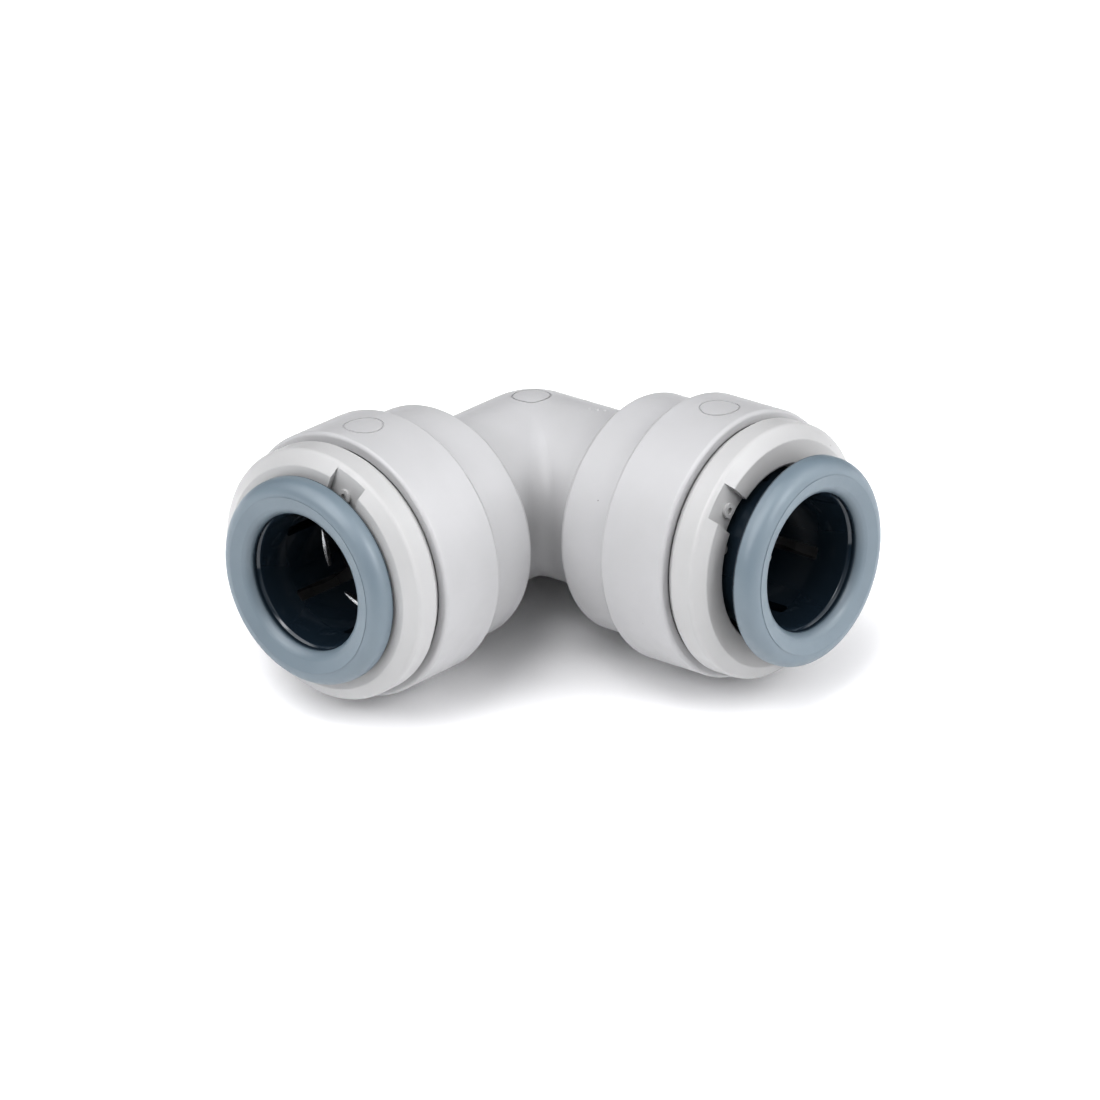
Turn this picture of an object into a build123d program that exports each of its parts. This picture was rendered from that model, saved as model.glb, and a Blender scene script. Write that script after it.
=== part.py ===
from build123d import *
import os

# Push to connect equal elbow for 3/8 in (9.525 mm) tube.
# Frame: origin where the two port axes cross, +Z up, millimetres.
# The left port opens along -Y, the right port along +X.
# Every sub-part of a port is made in the port's own frame, where +Z is the
# port axis pointing out of the mouth, and is then turned into place.
# "At" values are distances from the crossing, measured along the port axis.

# ---- driving dimensions -------------------------------------------------
TUBE_R = 9.525 / 2
THROAT_R = 4.90          # collet bore that the tube slides through
SEAT_R = 4.85            # body bore that steadies the end of the tube
WATERWAY_R = 3.75
STOP_AT = 6.0            # shoulder that the tube end meets
BITE = 0.08              # how far tooth tips and seal reach inside the tube's surface

# elbow body, outside
ELBOW_R = 6.65
CREASE_FILLET = 1.5
REAR_AT = 10.25
REAR_R = 8.95
STEP_AT = 15.0
SOCKET_R = 10.0
FACE_AT = 20.75
REAR_EDGE = 0.45
STEP_EDGE = 0.30
FACE_EDGE = 0.30

# elbow body, inside
O_RING_SECTION = 2.34
CHAMBER_R = 7.04
CHAMBER_FROM = 11.4
CHAMBER_TO = 14.0
SPACER_BORE_R = 7.65
SHELF_AT = 15.2
SOCKET_BORE_R = 8.65
MOUTH_CHAMFER = 0.55

# cap (collet housing)
CAP_BARREL_R = 8.60
CAP_SHOULDER_R = 9.15
CAP_SHOULDER_AT = 20.80
CAP_FLANGE_BACK = 21.15
CAP_FLANGE_R = 9.50
CAP_CONE_FROM = 23.0
CAP_FACE_AT = 23.70
CAP_FACE_R = 8.45
CAP_HOLE_R = 6.60
CAP_INNER_R = 7.45
CAP_TAPER_IN = 17.9
CAP_TAPER_OUT = 20.0
CAP_EDGE = 0.20
CAP_CONE_EDGE = 0.40
NOTCH_WIDTH = 2.8
NOTCH_FLOOR_AT = 23.22
NOTCH_OUTER_R = 9.3
MARK_AT_R = 7.42
MARK_OUTER_R = 0.55
MARK_INNER_R = 0.25
MARK_HEIGHT = 0.22
MARK_ROOT = 0.10

# collet, with its flange pushed against the cap
COLLET_FACE_AT = 25.62
COLLET_TRAVEL = 1.60
FLANGE_THICK = 1.85
FLANGE_R = 7.77
FLANGE_ROUND = 1.10
FLANGE_BACK_ROUND = 0.30
FACE_STEP_R = 6.65
FACE_STEP = 0.04
DISH = 0.42              # the face sinks by this much from its step to the mouth
MOUTH_R = 5.20           # the throat widens to this at the face, to lead the tube in
MOUTH_ROUND = 0.88
LEAD_IN_FROM = 21.5
NECK_R = 6.10
HEAD_R = 7.10
HEAD_FROM = 16.2
HEAD_FULL_TO = 17.04
FINGERS = 6
SLIT_WIDTH = 0.9
SLIT_END_AT = 21.8
FINGER_TIP_CHAMFER = 0.4

# stainless teeth, one to a finger
TOOTH_AT = 17.35
TOOTH_THICK = 0.30
TOOTH_ARC = 37.0
TOOTH_OUTER_R = 6.45
TOOTH_LEAN = 0.75
TOOTH_ROOT = 0.12        # blank left inside the straight inner edge, before it is cut

# backing ring between O-ring and cap
SPACER_R = 7.60
SPACER_HOLE_R = 4.98
SPACER_CLEAR = 0.04
SPACER_EDGE = 0.20
SPACER_LEAD_IN = 0.30

# moulding marks
PIN_MARK_R = 1.5
PIN_MARK_WIDTH = 0.14
PIN_MARK_DEPTH = 0.07
SOCKET_MARK_AT = 18.1

OVERLAP = 1.0            # how far tools and joined solids run past the surface they meet
MATCH = 0.01             # how closely an edge must match when it is looked up by size

# name of the port, turn about Z from +X, clock angle of the cap notch and of
# the first finger about the port axis, how far the collet is pulled out
PORTS = [
    ("left", -90.0, 67.5, -50.0, 0.0),
    ("right", 0.0, 137.0, -50.0, COLLET_TRAVEL),
]


# ---- helpers ------------------------------------------------------------
def turned(points):
    """A closed (radius, height) outline turned once about the port axis."""
    outline = make_face(Polyline(*[(r, 0, t) for r, t in points], close=True).edges())
    return revolve(outline, Axis.Z, 360)


def barrel(radius, start, end):
    """A plain round solid along the port axis."""
    return Pos(0, 0, start) * Cylinder(radius, end - start, align=(Align.CENTER, Align.CENTER, Align.MIN))


def rims(shape, radius, at):
    """Circular edges of one radius at one height on the port axis."""
    found = []
    for edge in shape.edges().filter_by(GeomType.CIRCLE):
        centre = edge.arc_center
        if abs(edge.radius - radius) < MATCH and abs(centre.Z - at) < MATCH:
            found.append(edge)
    return found


def place(shape, turn):
    """Port frame to row frame: port axis to +X, the port's own Y upwards, then the turn about Z."""
    laid = Plane(origin=(0, 0, 0), x_dir=(0, 1, 0), z_dir=(1, 0, 0)) * shape
    return Rot(0, 0, turn) * laid


def clocked(angle):
    """Turn about the port axis, from the sideways direction towards the top."""
    return Rot(0, 0, angle)


def on_port(shape, turn, clock=0.0, pull=0.0):
    moved = Pos(0, 0, pull) * clocked(clock) * shape
    return place(moved, turn)


# ---- elbow body ---------------------------------------------------------
def socket_outside():
    rear = barrel(REAR_R, REAR_AT, STEP_AT + OVERLAP)
    rear = fillet(rims(rear, REAR_R, REAR_AT), REAR_EDGE)
    front = barrel(SOCKET_R, STEP_AT, FACE_AT)
    front = fillet(rims(front, SOCKET_R, STEP_AT), STEP_EDGE)
    front = fillet(rims(front, SOCKET_R, FACE_AT), FACE_EDGE)
    return rear + front


def socket_inside():
    return turned([
        (0, 0), (WATERWAY_R, 0), (WATERWAY_R, STOP_AT), (SEAT_R, STOP_AT), (SEAT_R, CHAMBER_FROM),
        (CHAMBER_R, CHAMBER_FROM), (CHAMBER_R, CHAMBER_TO), (SPACER_BORE_R, CHAMBER_TO),
        (SPACER_BORE_R, SHELF_AT), (SOCKET_BORE_R, SHELF_AT), (SOCKET_BORE_R, FACE_AT - MOUTH_CHAMFER),
        (SOCKET_BORE_R + MOUTH_CHAMFER, FACE_AT), (SOCKET_BORE_R + MOUTH_CHAMFER, FACE_AT + OVERLAP),
        (0, FACE_AT + OVERLAP),
    ])


def plain_elbow():
    """Two round arms with a filleted inner crease, and a ball that rounds the outer corner."""
    first, second = [place(barrel(ELBOW_R, 0, REAR_AT + OVERLAP), turn) for _, turn, _, _, _ in PORTS]
    arms = first + second
    arms = fillet(arms.edges().filter_by(GeomType.ELLIPSE), CREASE_FILLET)
    return arms + Sphere(ELBOW_R)


def pin_mark(top):
    """A thin upright ring about the highest point of a surface, to be cut to a shallow groove."""
    ring = Cylinder(PIN_MARK_R, 2 * OVERLAP) - Cylinder(PIN_MARK_R - PIN_MARK_WIDTH, 2 * OVERLAP)
    return Pos(0, 0, top) * ring


def elbow_body():
    body = plain_elbow()
    for _, turn, _, _, _ in PORTS:
        body += place(socket_outside(), turn)
    for _, turn, _, _, _ in PORTS:
        body -= place(socket_inside(), turn)
    body -= Sphere(WATERWAY_R)
    return body - pin_marks()


def pin_marks():
    """Round moulding marks on top of each socket and of the corner."""
    marks = []
    for _, turn, _, _, _ in PORTS:
        skin = barrel(SOCKET_R + OVERLAP, STEP_AT + OVERLAP, FACE_AT - OVERLAP)
        skin -= barrel(SOCKET_R - PIN_MARK_DEPTH, STEP_AT, FACE_AT)
        where = Rot(0, 0, turn) * Pos(SOCKET_MARK_AT, 0, 0)
        marks.append(place(skin, turn) & (where * pin_mark(SOCKET_R)))
    ball_skin = Sphere(ELBOW_R + OVERLAP) - Sphere(ELBOW_R - PIN_MARK_DEPTH)
    marks.append(ball_skin & pin_mark(ELBOW_R))
    return marks


# ---- cap ----------------------------------------------------------------
def cap():
    ring = turned([
        (CAP_INNER_R, SHELF_AT + SPACER_CLEAR), (CAP_BARREL_R, SHELF_AT + SPACER_CLEAR),
        (CAP_BARREL_R, CAP_SHOULDER_AT), (CAP_SHOULDER_R, CAP_SHOULDER_AT),
        (CAP_SHOULDER_R, CAP_FLANGE_BACK), (CAP_FLANGE_R, CAP_FLANGE_BACK), (CAP_FLANGE_R, CAP_CONE_FROM),
        (CAP_FACE_R, CAP_FACE_AT), (CAP_HOLE_R, CAP_FACE_AT), (CAP_HOLE_R, CAP_TAPER_OUT),
        (CAP_INNER_R, CAP_TAPER_IN),
    ])
    for radius, at, size in [
        (CAP_FLANGE_R, CAP_FLANGE_BACK, CAP_EDGE),
        (CAP_FLANGE_R, CAP_CONE_FROM, CAP_CONE_EDGE),
        (CAP_FACE_R, CAP_FACE_AT, CAP_EDGE),
        (CAP_HOLE_R, CAP_FACE_AT, CAP_EDGE),
    ]:
        ring = fillet(rims(ring, radius, at), size)
    reach = NOTCH_OUTER_R - CAP_HOLE_R + OVERLAP
    notch = Pos(CAP_HOLE_R - OVERLAP, 0, NOTCH_FLOOR_AT) * Box(
        reach, NOTCH_WIDTH, 2 * OVERLAP, align=(Align.MIN, Align.CENTER, Align.MIN))
    mark = barrel(MARK_OUTER_R, -MARK_ROOT, MARK_HEIGHT)
    mark -= barrel(MARK_INNER_R, -MARK_ROOT / 2, MARK_HEIGHT + OVERLAP)
    return ring - notch + Pos(MARK_AT_R, 0, NOTCH_FLOOR_AT) * mark


# ---- collet and teeth ---------------------------------------------------
def tooth():
    """A leaning blade whose straight inner edge stands into the throat and points to the tube stop."""
    tip_r = TUBE_R - BITE
    section = make_face(Polyline(
        (tip_r - TOOTH_ROOT, 0, TOOTH_AT), (TOOTH_OUTER_R, 0, TOOTH_AT + TOOTH_LEAN),
        (TOOTH_OUTER_R, 0, TOOTH_AT + TOOTH_LEAN + TOOTH_THICK),
        (tip_r - TOOTH_ROOT, 0, TOOTH_AT + TOOTH_THICK), close=True).edges())
    blade = clocked(-TOOTH_ARC / 2) * revolve(section, Axis.Z, TOOTH_ARC)
    return blade & Pos(tip_r, 0, TOOTH_AT) * Box(
        TOOTH_OUTER_R, 2 * TOOTH_OUTER_R, 2 * TOOTH_OUTER_R, align=(Align.MIN, Align.CENTER, Align.CENTER))


def collet_ring():
    back = COLLET_FACE_AT - FLANGE_THICK
    slope = (CAP_INNER_R - CAP_HOLE_R) / (CAP_TAPER_OUT - CAP_TAPER_IN)
    head_to = HEAD_FULL_TO + (HEAD_R - NECK_R) / slope
    ring = turned([
        (THROAT_R, HEAD_FROM), (HEAD_R - FINGER_TIP_CHAMFER, HEAD_FROM),
        (HEAD_R, HEAD_FROM + FINGER_TIP_CHAMFER), (HEAD_R, HEAD_FULL_TO), (NECK_R, head_to),
        (NECK_R, back), (FLANGE_R, back), (FLANGE_R, COLLET_FACE_AT - FACE_STEP),
        (FACE_STEP_R, COLLET_FACE_AT - FACE_STEP), (FACE_STEP_R, COLLET_FACE_AT),
        (MOUTH_R, COLLET_FACE_AT - DISH), (THROAT_R, LEAD_IN_FROM),
    ])
    ring = fillet(rims(ring, FLANGE_R, COLLET_FACE_AT - FACE_STEP), FLANGE_ROUND)
    ring = fillet(rims(ring, FLANGE_R, back), FLANGE_BACK_ROUND)
    return fillet(rims(ring, MOUTH_R, COLLET_FACE_AT - DISH), MOUTH_ROUND)


def slit(angle):
    """One gap between fingers, open at the finger tips and round at its other end."""
    length = SLIT_END_AT - SLIT_WIDTH / 2 - HEAD_FROM + OVERLAP
    gap = Box(FLANGE_R, SLIT_WIDTH, length, align=(Align.MIN, Align.CENTER, Align.MIN))
    round_end = Rot(0, 90, 0) * Cylinder(
        SLIT_WIDTH / 2, FLANGE_R, align=(Align.CENTER, Align.CENTER, Align.MIN))
    tool = Pos(0, 0, HEAD_FROM - OVERLAP) * gap + Pos(0, 0, SLIT_END_AT - SLIT_WIDTH / 2) * round_end
    return clocked(angle) * tool


def collet(teeth):
    ring = collet_ring()
    pitch = 360 / FINGERS
    for number in range(FINGERS):
        ring -= slit((number + 0.5) * pitch)
    for piece in teeth:
        ring -= piece
    return ring


# ---- seal and backing ring ----------------------------------------------
def o_ring():
    middle = (CHAMBER_FROM + CHAMBER_TO) / 2
    centre_r = TUBE_R - BITE + O_RING_SECTION / 2
    return Pos(0, 0, middle) * Torus(centre_r, O_RING_SECTION / 2)


def spacer():
    start = CHAMBER_TO + SPACER_CLEAR
    end = SHELF_AT
    ring = barrel(SPACER_R, start, end) - barrel(SPACER_HOLE_R, start, end)
    ring = chamfer(rims(ring, SPACER_R, start), SPACER_EDGE)
    return chamfer(rims(ring, SPACER_HOLE_R, end), SPACER_LEAD_IN)


# ---- write every node ---------------------------------------------------
def save(shape, node):
    solids = shape.solids()
    whole = solids[0] if len(solids) == 1 else Compound(children=list(solids))
    whole.label = node
    export_step(whole, "parts/" + node + ".step")


def main():
    os.makedirs("parts", exist_ok=True)
    save(elbow_body(), "elbow_body")
    pitch = 360 / FINGERS
    for name, turn, notch_clock, finger_clock, pull in PORTS:
        teeth = [clocked(number * pitch) * tooth() for number in range(FINGERS)]
        save(on_port(cap(), turn, notch_clock), name + "_cap")
        save(on_port(collet(teeth), turn, finger_clock, pull), name + "_collet")
        for number, piece in enumerate(teeth, start=1):
            save(on_port(piece, turn, finger_clock, pull), name + "_tooth_" + str(number))
        save(on_port(o_ring(), turn), name + "_o_ring")
        save(on_port(spacer(), turn), name + "_spacer")


main()
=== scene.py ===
import math

import bmesh
import bpy
from mathutils import Matrix, Vector


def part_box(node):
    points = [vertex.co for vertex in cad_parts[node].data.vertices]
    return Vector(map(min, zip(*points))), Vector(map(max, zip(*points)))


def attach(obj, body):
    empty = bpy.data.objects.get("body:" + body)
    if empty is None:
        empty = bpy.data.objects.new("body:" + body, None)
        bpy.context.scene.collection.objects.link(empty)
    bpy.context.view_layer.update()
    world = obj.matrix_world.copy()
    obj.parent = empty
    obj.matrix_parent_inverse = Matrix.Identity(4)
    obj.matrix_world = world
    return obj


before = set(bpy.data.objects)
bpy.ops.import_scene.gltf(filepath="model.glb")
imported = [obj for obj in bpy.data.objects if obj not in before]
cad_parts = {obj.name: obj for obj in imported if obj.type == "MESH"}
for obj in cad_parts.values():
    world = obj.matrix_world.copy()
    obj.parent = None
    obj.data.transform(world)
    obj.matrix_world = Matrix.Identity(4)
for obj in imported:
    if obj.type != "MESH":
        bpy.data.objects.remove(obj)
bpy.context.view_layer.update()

MM = 0.001
UP = Vector((0, 0, 1))
PORTS = ("left", "right")   # the left port looks along -Y, the right one along +X
TEETH = 6

# ---- camera ---------------------------------------------------------------
CAMERA_AZIMUTH = math.radians(41.71)
CAMERA_ELEVATION = math.radians(22.80)
CAMERA_ROLL = math.radians(-1.65)
CAMERA_DISTANCE = 476.2 * MM
CAMERA_LENS = 210.3
AIM_RIGHT = 1.05 * MM      # the view's middle, seen from the axis crossing
AIM_UP = -5.36 * MM

# ---- floor ----------------------------------------------------------------
# Put down, the fitting tips back until its corner and both sockets touch, which lifts its
# mouths. The CAD frame stays upright here, so the paper slopes down towards the camera at that
# angle instead, and levels out behind.
REST_TILT = math.radians(16.85)
REST_DROP = 6.65 * MM      # from the axis crossing straight down to the paper
BEND_FROM = 4.0 * MM       # where the paper starts to level out, behind the crossing
BEND_RADIUS = 60.0 * MM
BEND_STEPS = 24
PAPER_REACH = 2.0
BACKWARD = Vector((-1, 1, 0)).normalized()
SIDEWAYS = Vector((1, 1, 0)).normalized()
REST_UP = UP * math.cos(REST_TILT) - BACKWARD * math.sin(REST_TILT)

# ---- light ----------------------------------------------------------------
# Directions are clock angles about the upright from the camera side, then heights above the paper.
AMBIENT = 0.02
PAINTED_GLOW = 0.25                # painted glow: the paper glows by itself, more away from the fitting, so the shadow stays close to it
GLOW_MIDDLE = (8 * MM, -8 * MM, -10 * MM)
GLOW_FROM = 18 * MM
GLOW_FULL = 42 * MM
SOFT_BOXES = [             # clock, height, strength, cosine where it ends, cosine where it is full
    (90.0, 50.0, 1.33, 0.74, 0.93),
    (90.0, 18.0, 1.49, 0.74, 0.93),
    (-90.0, 38.0, 0.27, 0.74, 0.93),
    (-90.0, 62.0, 3.13, 0.74, 0.93),
    (45.0, 35.0, 0.73, 0.74, 0.93),
    (-45.0, 35.0, 0.36, 0.74, 0.93),
    (70.0, 42.0, 7.4, 0.984, 0.988),
    (-62.0, 40.0, 5.0, 0.984, 0.988),
    (-40.0, 74.0, 4.5, 0.984, 0.988),
]
CONTRAST_GAMMA = 0.82


def make_camera():
    """A long lens that looks down into the angle between the two ports."""
    a, e = CAMERA_AZIMUTH, CAMERA_ELEVATION
    back = Vector((math.sin(a) * math.cos(e), -math.cos(a) * math.cos(e), math.sin(e)))
    right = Vector((math.cos(a), math.sin(a), 0))
    up = back.cross(right)
    place = back * CAMERA_DISTANCE + right * AIM_RIGHT + up * AIM_UP
    rolled_right = right * math.cos(CAMERA_ROLL) + up * math.sin(CAMERA_ROLL)
    rolled_up = back.cross(rolled_right)
    turn = Matrix((rolled_right, rolled_up, back)).transposed()
    data = bpy.data.cameras.new("camera")
    data.lens = CAMERA_LENS
    data.sensor_width = 36
    data.clip_start = 0.01
    camera = bpy.data.objects.new("camera", data)
    camera.matrix_world = Matrix.Translation(place) @ turn.to_4x4()
    bpy.context.scene.collection.objects.link(camera)
    bpy.context.scene.camera = camera


# ---- node helpers ---------------------------------------------------------
def new_material(name):
    material = bpy.data.materials.new(name)
    material.use_nodes = True
    tree = material.node_tree
    shader = tree.nodes["Principled BSDF"]
    return material, tree, shader


def node(tree, kind, **settings):
    made = tree.nodes.new(kind)
    for key, value in settings.items():
        setattr(made, key, value)
    return made


def own_position(tree):
    """The place on the piece itself, so a texture moves with its piece."""
    return node(tree, "ShaderNodeTexCoord").outputs["Object"]


def noise(tree, scale, detail=3.0, roughness=0.5):
    made = node(tree, "ShaderNodeTexNoise")
    made.inputs["Scale"].default_value = scale
    made.inputs["Detail"].default_value = detail
    made.inputs["Roughness"].default_value = roughness
    tree.links.new(own_position(tree), made.inputs["Vector"])
    return made.outputs["Fac"]


def math_node(tree, operation, first, second=None):
    made = node(tree, "ShaderNodeMath", operation=operation)
    for socket, value in zip(made.inputs, (first, second)):
        if value is None:
            continue
        if isinstance(value, (int, float)):
            socket.default_value = value
        else:
            tree.links.new(value, socket)
    return made.outputs[0]


def stretch(tree, value, low, high, to_low=0.0, to_high=1.0):
    """A smooth step from to_low to to_high while value goes from low to high."""
    made = node(tree, "ShaderNodeMapRange", interpolation_type="SMOOTHSTEP")
    tree.links.new(value, made.inputs["Value"])
    for name, number in (("From Min", low), ("From Max", high), ("To Min", to_low), ("To Max", to_high)):
        made.inputs[name].default_value = number
    return made.outputs["Result"]


def mixed(tree, factor, first, second):
    made = node(tree, "ShaderNodeMix", data_type="RGBA")
    tree.links.new(factor, made.inputs["Factor"])
    for socket, value in ((made.inputs["A"], first), (made.inputs["B"], second)):
        if isinstance(value, tuple):
            socket.default_value = (*value, 1.0)
        else:
            tree.links.new(value, socket)
    return made.outputs["Result"]


def specks(tree, spacing, size, share):
    """1 inside a few small round specks: spacing and size in metres, share of cells that hold one."""
    cells = node(tree, "ShaderNodeTexVoronoi")
    cells.inputs["Scale"].default_value = 1.0 / spacing
    cells.inputs["Randomness"].default_value = 1.0
    tree.links.new(own_position(tree), cells.inputs["Vector"])
    near = stretch(tree, cells.outputs["Distance"], size / spacing, 0.55 * size / spacing)
    pick = node(tree, "ShaderNodeSeparateColor")
    tree.links.new(cells.outputs["Color"], pick.inputs["Color"])
    chosen = math_node(tree, "LESS_THAN", pick.outputs["Red"], share)
    return math_node(tree, "MULTIPLY", near, chosen)


def bump(tree, shader, height, distance, strength):
    made = node(tree, "ShaderNodeBump")
    made.inputs["Strength"].default_value = strength
    made.inputs["Distance"].default_value = distance
    tree.links.new(height, made.inputs["Height"])
    tree.links.new(made.outputs["Normal"], shader.inputs["Normal"])


# ---- materials ------------------------------------------------------------
BODY_GREY = ((0.430, 0.430, 0.437), (0.412, 0.412, 0.417))
CAP_GREY = ((0.435, 0.435, 0.436), (0.420, 0.420, 0.420))
SPECK = (0.16, 0.15, 0.14)
SPECK_SPACING = 2.6 * MM
SPECK_SIZE = 0.10 * MM
COLLET_BLUE = ((0.162, 0.203, 0.234), (0.150, 0.189, 0.219))
# painted shade: near-black standing in for the shade inside the collet's bore and behind its flange
COLLET_PAINTED_SHADE = (0.012, 0.022, 0.033)
STEEL_GREY = ((0.74, 0.75, 0.76), (0.62, 0.63, 0.64))
RUBBER_BLACK = ((0.012, 0.012, 0.013), (0.022, 0.022, 0.023))
PAPER_WHITE = ((0.90, 0.90, 0.905), (0.92, 0.92, 0.925))
PLASTIC_IOR = 1.48
POLISHED_IOR = 1.60
POLISHED = 0.10                            # roughness of the collet's bore and neck
MOUTH_SHADE_AND_POLISH_ZONE = (0.72 * MM, 1.05 * MM)        # depth below the face where the bore turns polished and gets painted shade
BORE_SHADE_AND_POLISH_ZONE = (6.00 * MM, 5.80 * MM)         # radius where it does
NECK_SHADE_AND_POLISH_ZONE = (1.45 * MM, 1.75 * MM)         # depth where the flange ends and the neck begins; deeper in, polish and painted shade


def moulded_plastic(name, colours, roughness, speck_share):
    """Satin moulded acetal: faint mottling, a fine spark-eroded skin and a few dark specks."""
    material, tree, shader = new_material(name)
    cloud = stretch(tree, noise(tree, 160.0, 4.0), 0.3, 0.7)
    spots = specks(tree, SPECK_SPACING, SPECK_SIZE, speck_share)
    base = mixed(tree, spots, mixed(tree, cloud, *colours), SPECK)
    tree.links.new(base, shader.inputs["Base Color"])
    rough = stretch(tree, noise(tree, 900.0, 3.0), 0.25, 0.75, roughness - 0.05, roughness + 0.06)
    tree.links.new(rough, shader.inputs["Roughness"])
    bump(tree, shader, noise(tree, 7000.0, 4.0, 0.6), 0.010 * MM, 0.35)
    shader.inputs["IOR"].default_value = PLASTIC_IOR
    return material


def collet_plastic_with_painted_shade(name, port, face_at):
    """Textured blue-grey face and rim; the bore, the neck and the fingers are smooth, and painted shade
    makes them near-black.
    """
    material, tree, shader = new_material(name)
    cloud = stretch(tree, noise(tree, 240.0, 4.0), 0.3, 0.7)
    outside = mixed(tree, cloud, *COLLET_BLUE)
    place = node(tree, "ShaderNodeSeparateXYZ")
    tree.links.new(own_position(tree), place.inputs["Vector"])
    along, across = ("Y", "X") if port == "left" else ("X", "Y")
    outward = math_node(tree, "MULTIPLY", place.outputs[along], -1.0 if port == "left" else 1.0)
    side = math_node(tree, "POWER", place.outputs[across], 2.0)
    high = math_node(tree, "POWER", place.outputs["Z"], 2.0)
    radius = math_node(tree, "SQRT", math_node(tree, "ADD", side, high))
    # painted shade: past the mouth's rounding and behind the flange the collet turns near-black, where
    # shade falls; the same mask makes it polished
    mouth_shade_and_polish, behind = (
        stretch(tree, outward, face_at - start, face_at - end) for start, end in (MOUTH_SHADE_AND_POLISH_ZONE, NECK_SHADE_AND_POLISH_ZONE))
    bore_shade_and_polish = math_node(tree, "MULTIPLY", mouth_shade_and_polish, stretch(tree, radius, *BORE_SHADE_AND_POLISH_ZONE))
    dark = math_node(tree, "MAXIMUM", bore_shade_and_polish, behind)
    tree.links.new(mixed(tree, dark, outside, COLLET_PAINTED_SHADE), shader.inputs["Base Color"])
    skin = stretch(tree, noise(tree, 1200.0, 3.0), 0.25, 0.75, 0.36, 0.46)
    rough = node(tree, "ShaderNodeMix", data_type="FLOAT")
    tree.links.new(dark, rough.inputs["Factor"])
    tree.links.new(skin, rough.inputs["A"])
    rough.inputs["B"].default_value = POLISHED
    tree.links.new(rough.outputs["Result"], shader.inputs["Roughness"])
    grain = node(tree, "ShaderNodeBump")
    tree.links.new(stretch(tree, dark, 0.0, 1.0, 0.4, 0.03), grain.inputs["Strength"])
    grain.inputs["Distance"].default_value = 0.012 * MM
    tree.links.new(noise(tree, 5200.0, 4.0, 0.6), grain.inputs["Height"])
    tree.links.new(grain.outputs["Normal"], shader.inputs["Normal"])
    shader.inputs["IOR"].default_value = POLISHED_IOR
    return material


def stainless(name):
    material, tree, shader = new_material(name)
    grain = noise(tree, 4000.0, 4.0, 0.6)
    base = mixed(tree, stretch(tree, grain, 0.3, 0.7), *STEEL_GREY)
    tree.links.new(base, shader.inputs["Base Color"])
    tree.links.new(stretch(tree, grain, 0.2, 0.8, 0.18, 0.34), shader.inputs["Roughness"])
    bump(tree, shader, grain, 0.006 * MM, 0.3)
    shader.inputs["Metallic"].default_value = 1.0
    return material


def rubber(name):
    material, tree, shader = new_material(name)
    grain = noise(tree, 3000.0, 3.0)
    base = mixed(tree, stretch(tree, grain, 0.3, 0.7), *RUBBER_BLACK)
    tree.links.new(base, shader.inputs["Base Color"])
    tree.links.new(stretch(tree, grain, 0.2, 0.8, 0.42, 0.6), shader.inputs["Roughness"])
    bump(tree, shader, grain, 0.01 * MM, 0.3)
    return material


def floor_paper_with_painted_glow(name):
    material, tree, shader = new_material(name)
    base = mixed(tree, noise(tree, 30.0, 2.0), *PAPER_WHITE)
    tree.links.new(base, shader.inputs["Base Color"])
    shader.inputs["Roughness"].default_value = 0.9
    shader.inputs["Specular IOR Level"].default_value = 0.1
    # painted glow: the paper's emission fades out towards the fitting's middle, leaving the floor near
    # it in shade
    away = node(tree, "ShaderNodeVectorMath", operation="DISTANCE")
    tree.links.new(own_position(tree), away.inputs[0])
    away.inputs[1].default_value = GLOW_MIDDLE
    glow = stretch(tree, away.outputs["Value"], GLOW_FROM, GLOW_FULL, 0.0, PAINTED_GLOW)
    tree.links.new(glow, shader.inputs["Emission Strength"])
    shader.inputs["Emission Color"].default_value = (1.0, 1.0, 1.0, 1.0)
    return material


def dress(name, material):
    """Give a CAD node its material."""
    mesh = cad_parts[name].data
    mesh.materials.clear()
    mesh.materials.append(material)


# ---- small moulded details ------------------------------------------------
# The polished lip in a collet's mouth: depth below the face and radius, both in mm.
LIP_FROM = (0.90, 5.32)
LIP_CREST = (1.50, 4.955)
LIP_END = (4.00, 4.905)
LIP_WALL = 0.30
LIP_STEPS = 10
LIP_SIDES = 128
LIP_CREASE = math.radians(40.0)
NECK_R = 6.65 * MM
DOT_R = 0.13 * MM
DOT_FIRST = (5.32, 0.42)   # along X and Y on the right arm's neck, in mm
DOT_STEP = (0.49, 0.31)
DOT_COUNT = 3
DOT_FLATNESS = 0.5


def mouth_lip(port, face_at):
    """A thin polished liner: it rises smoothly out of the mouth's rounding to the bore's entry."""
    (start, wide), (crest, narrow), (end, last) = LIP_FROM, LIP_CREST, LIP_END
    profile = []
    for step in range(LIP_STEPS + 1):
        share = step / LIP_STEPS
        eased = share * share * (3.0 - 2.0 * share)
        profile.append((start + (crest - start) * share, wide + (narrow - wide) * eased))
    profile += [(end, last), (end, last + LIP_WALL), (crest, wide + LIP_WALL), (start, wide + LIP_WALL)]
    build = bmesh.new()
    rings = []
    for depth, radius in profile:
        ring = []
        for side in range(LIP_SIDES):
            turn = 2.0 * math.pi * side / LIP_SIDES
            out = face_at - depth * MM
            across, up = radius * MM * math.cos(turn), radius * MM * math.sin(turn)
            ring.append(build.verts.new((across, -out, up) if port == "left" else (out, across, up)))
        rings.append(ring)
    for number, ring in enumerate(rings):
        after = rings[(number + 1) % len(rings)]
        for side in range(LIP_SIDES):
            beside = (side + 1) % LIP_SIDES
            build.faces.new((ring[side], ring[beside], after[beside], after[side]))
    bmesh.ops.recalc_face_normals(build, faces=build.faces)
    mesh = bpy.data.meshes.new(f"{port}_mouth_lip")
    build.to_mesh(mesh)
    build.free()
    mesh.shade_smooth()
    mesh.set_sharp_from_angle(angle=LIP_CREASE)
    lip = bpy.data.objects.new(f"{port}_mouth_lip", mesh)
    bpy.context.scene.collection.objects.link(lip)
    return lip


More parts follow.
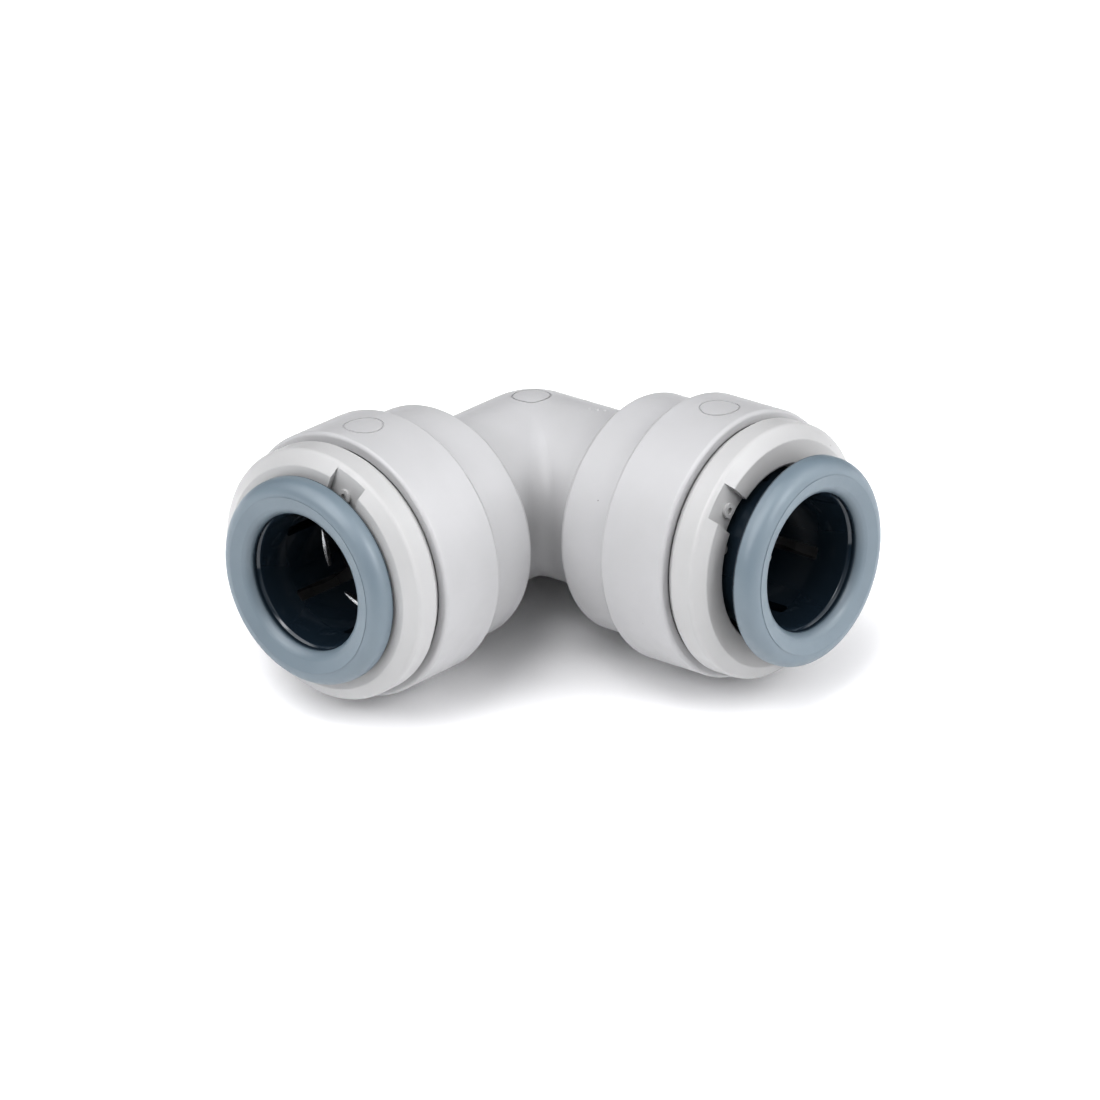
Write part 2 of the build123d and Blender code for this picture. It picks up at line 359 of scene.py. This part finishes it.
def neck_dots():
    """Three tiny raised dots beside the crest of the right arm's neck."""
    mesh = bpy.data.meshes.new("neck_dots")
    build = bmesh.new()
    for number in range(DOT_COUNT):
        x = (DOT_FIRST[0] + number * DOT_STEP[0]) * MM
        y = (DOT_FIRST[1] + number * DOT_STEP[1]) * MM
        z = math.sqrt(NECK_R ** 2 - y ** 2)
        place = Matrix.Translation((x, y, z)) @ Matrix.Diagonal((1.0, 1.0, DOT_FLATNESS, 1.0))
        bmesh.ops.create_icosphere(build, subdivisions=3, radius=DOT_R, matrix=place)
    build.to_mesh(mesh)
    build.free()
    mesh.shade_smooth()
    dots = bpy.data.objects.new("neck_dots", mesh)
    bpy.context.scene.collection.objects.link(dots)
    return dots


# ---- stage ----------------------------------------------------------------
def make_world():
    """A dim room with large soft boxes to the right, to the left and overhead."""
    world = bpy.data.worlds.new("studio")
    world.use_nodes = True
    tree = world.node_tree
    sky = tree.nodes["Background"]
    sky.inputs["Color"].default_value = (0.99, 0.99, 1.0, 1.0)
    direction = node(tree, "ShaderNodeTexCoord").outputs["Generated"]
    ahead = Vector((math.sin(CAMERA_AZIMUTH), -math.cos(CAMERA_AZIMUTH), 0))
    ahead = (ahead - REST_UP * ahead.dot(REST_UP)).normalized()
    right = REST_UP.cross(ahead)
    total = AMBIENT
    for clock, height, strength, edge, full in SOFT_BOXES:
        c, h = math.radians(clock), math.radians(height)
        aim = (ahead * math.cos(c) + right * math.sin(c)) * math.cos(h) + REST_UP * math.sin(h)
        towards = node(tree, "ShaderNodeVectorMath", operation="DOT_PRODUCT")
        tree.links.new(direction, towards.inputs[0])
        towards.inputs[1].default_value = aim
        box = stretch(tree, towards.outputs["Value"], edge, full, 0.0, strength)
        total = math_node(tree, "ADD", box, total)
    tree.links.new(total, sky.inputs["Strength"])
    bpy.context.scene.world = world


def make_floor():
    """One sheet of paper: a straight slope, a round bend and a level part."""
    top = -REST_DROP / math.cos(REST_TILT)
    rise = math.tan(REST_TILT)
    profile = [(-PAPER_REACH, top - PAPER_REACH * rise), (BEND_FROM, top + BEND_FROM * rise)]
    for step in range(1, BEND_STEPS + 1):
        angle = REST_TILT * (1 - step / BEND_STEPS)
        along = BEND_FROM + BEND_RADIUS * (math.sin(REST_TILT) - math.sin(angle))
        up = top + BEND_FROM * rise + BEND_RADIUS * (math.cos(angle) - math.cos(REST_TILT))
        profile.append((along, up))
    profile.append((PAPER_REACH, profile[-1][1]))
    points = []
    for along, up in profile:
        for side in (-PAPER_REACH, PAPER_REACH):
            points.append(BACKWARD * along + SIDEWAYS * side + UP * up)
    faces = [(2 * i, 2 * i + 1, 2 * i + 3, 2 * i + 2) for i in range(len(profile) - 1)]
    mesh = bpy.data.meshes.new("floor")
    mesh.from_pydata([tuple(p) for p in points], [], faces)
    mesh.shade_smooth()
    mesh.materials.append(floor_paper_with_painted_glow("floor_paper_with_painted_glow"))
    floor = bpy.data.objects.new("floor", mesh)
    bpy.context.scene.collection.objects.link(floor)


# ---- build ----------------------------------------------------------------
make_camera()
make_world()
make_floor()
body_plastic = moulded_plastic("body_plastic", BODY_GREY, roughness=0.42, speck_share=0.20)
cap_plastic = moulded_plastic("cap_plastic", CAP_GREY, roughness=0.40, speck_share=0.08)
steel = stainless("stainless_strip")
nitrile = rubber("nitrile_rubber")
dress("elbow_body", body_plastic)
for port in PORTS:
    low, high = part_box(port + "_collet")
    face_at = -low.y if port == "left" else high.x
    dress(port + "_cap", cap_plastic)
    dress(port + "_spacer", body_plastic)
    dress(port + "_o_ring", nitrile)
    collet = collet_plastic_with_painted_shade(port + "_collet_plastic_with_painted_shade", port, face_at)
    dress(port + "_collet", collet)
    lip = mouth_lip(port, face_at)
    lip.data.materials.append(collet)
    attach(lip, port + "_release")
    for number in range(1, TEETH + 1):
        dress(port + "_tooth_" + str(number), steel)

dots = neck_dots()
dots.data.materials.append(body_plastic)
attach(dots, "fitting")

bpy.context.scene.view_settings.view_transform = "Standard"
bpy.context.scene.view_settings.gamma = CONTRAST_GAMMA
